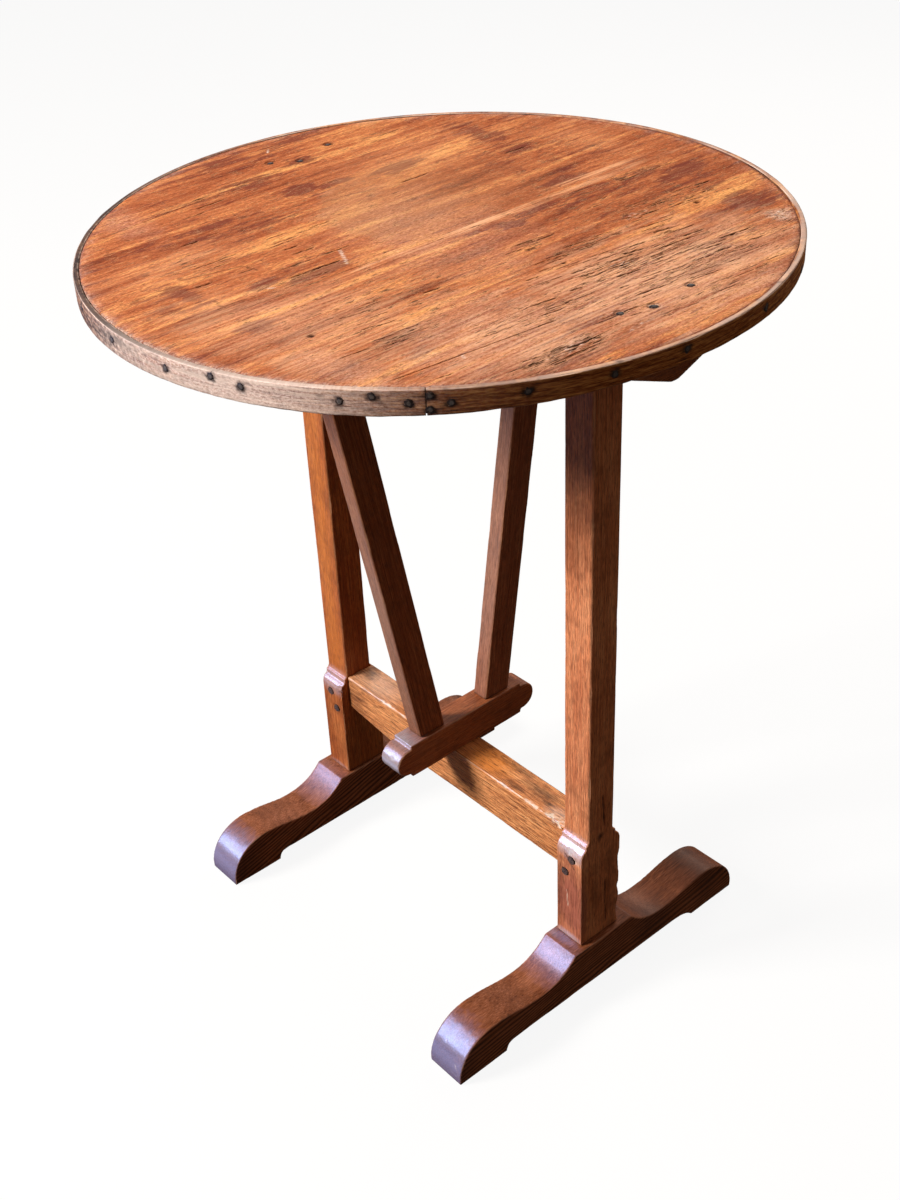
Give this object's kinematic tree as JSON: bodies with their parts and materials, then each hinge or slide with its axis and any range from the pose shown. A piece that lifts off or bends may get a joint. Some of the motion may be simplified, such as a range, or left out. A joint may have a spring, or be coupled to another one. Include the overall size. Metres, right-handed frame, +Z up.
{
  "type": "wine table",
  "caption": "Round wooden wine-tasting table: boards in a nailed hoop, pivoted on a trestle of shaped posts and sled feet, held level by a swing gate.",
  "frame": {"origin": "floor level, below the centre of the round top", "axes": "+Z up; +X along the stretcher from the left post to the right post; +Y along the sled feet from the front toes to the rear toes"},
  "size_m": [0.581, 0.581, 0.72],
  "materials": {
    "top_wood": "old worn wax on warm brown softwood boards",
    "hoop_wood": "weathered grey-brown bent hoop",
    "frame_wood": "dark red-brown waxed hardwood",
    "stretcher_wood": "worn lighter brown hardwood",
    "peg_wood": "dark end grain",
    "iron": "dark forged iron"
  },
  "bodies": {
    "frame": {"left_foot": "frame_wood", "right_foot": "frame_wood", "left_post": "frame_wood", "right_post": "frame_wood", "stretcher": "stretcher_wood", "stretcher_pegs": "peg_wood", "left_tilt_pin": "peg_wood", "right_tilt_pin": "peg_wood", "gate_pivot_pin": "peg_wood"},
    "gate": {"gate_bottom_bar": "frame_wood", "gate_front_strut": "frame_wood", "gate_rear_strut": "frame_wood", "gate_top_rail": "frame_wood"},
    "top": {"top_board_1": "top_wood", "top_board_2": "top_wood", "top_board_3": "top_wood", "top_board_4": "top_wood", "rim_band": "hoop_wood", "rim_nails": "iron", "left_cleat": "frame_wood", "right_cleat": "frame_wood", "cleat_nails": "iron"}
  },
  "joints": [
    {"name": "gate_swing", "type": "hinge", "parent": "frame", "child": "gate", "pos_m": [-0.0035, 0.0025, 0.185], "axis": [0, 0, 1], "range_deg": [-90, 90]},
    {"name": "top_tilt", "type": "hinge", "parent": "frame", "child": "top", "pos_m": [0, 0, 0.6837], "axis": [1, 0, 0], "range_deg": [-0.4, 0.4]}
  ]
}
